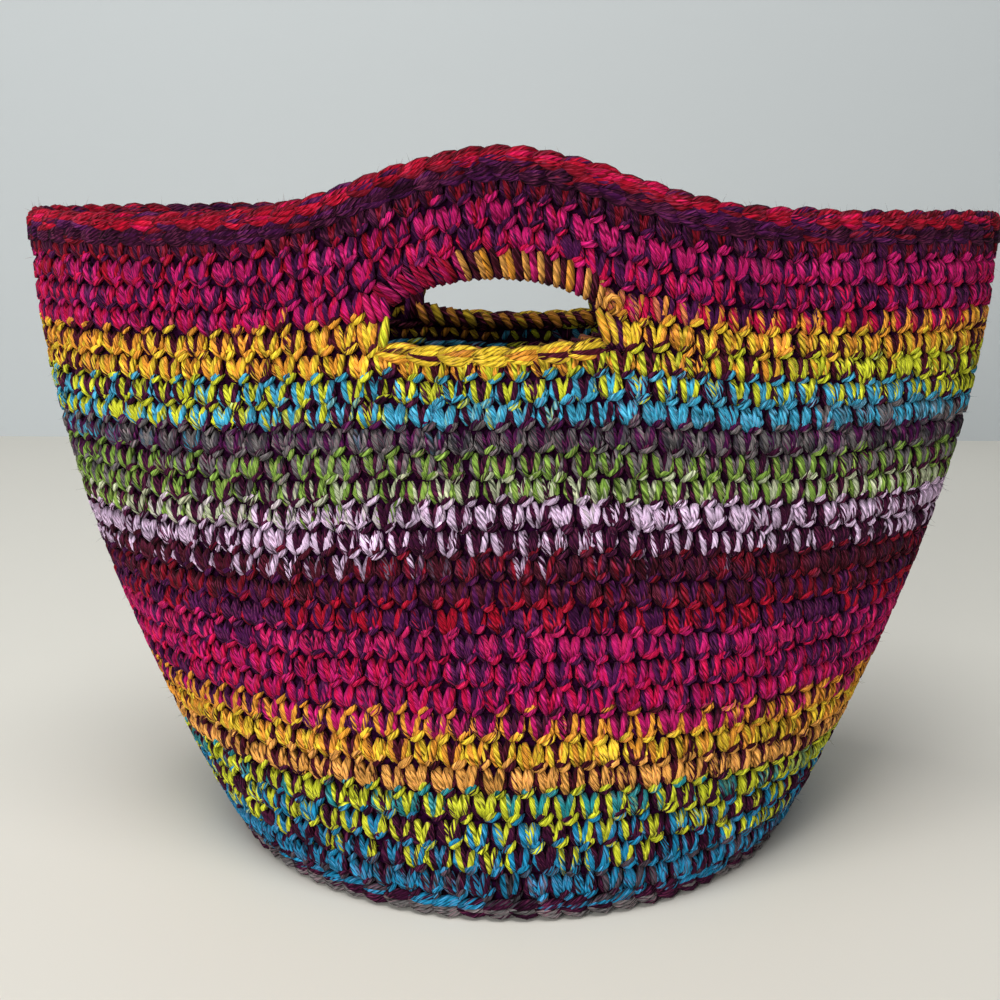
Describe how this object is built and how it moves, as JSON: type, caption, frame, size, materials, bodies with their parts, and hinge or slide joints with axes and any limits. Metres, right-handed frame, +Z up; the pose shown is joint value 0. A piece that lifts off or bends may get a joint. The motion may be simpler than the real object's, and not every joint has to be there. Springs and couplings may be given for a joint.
{
  "type": "crochet tote bag",
  "caption": "Soft crocheted tote bag with a round flat base, a wall flaring to a wide flattened mouth, and a hand hole through the front and back walls under a raised rim.",
  "frame": {"origin": "under the middle of the round base, on the surface that the bag stands on", "axes": "+Z up out of the mouth, +X along the wide direction of the mouth, -Y out of the front wall"},
  "size_m": [0.4116, 0.2598, 0.2846],
  "materials": {
    "yarn": "matte spun yarn, striped in many colours"
  },
  "bodies": {
    "root": {"crochet_bag": "yarn"}
  },
  "joints": []
}
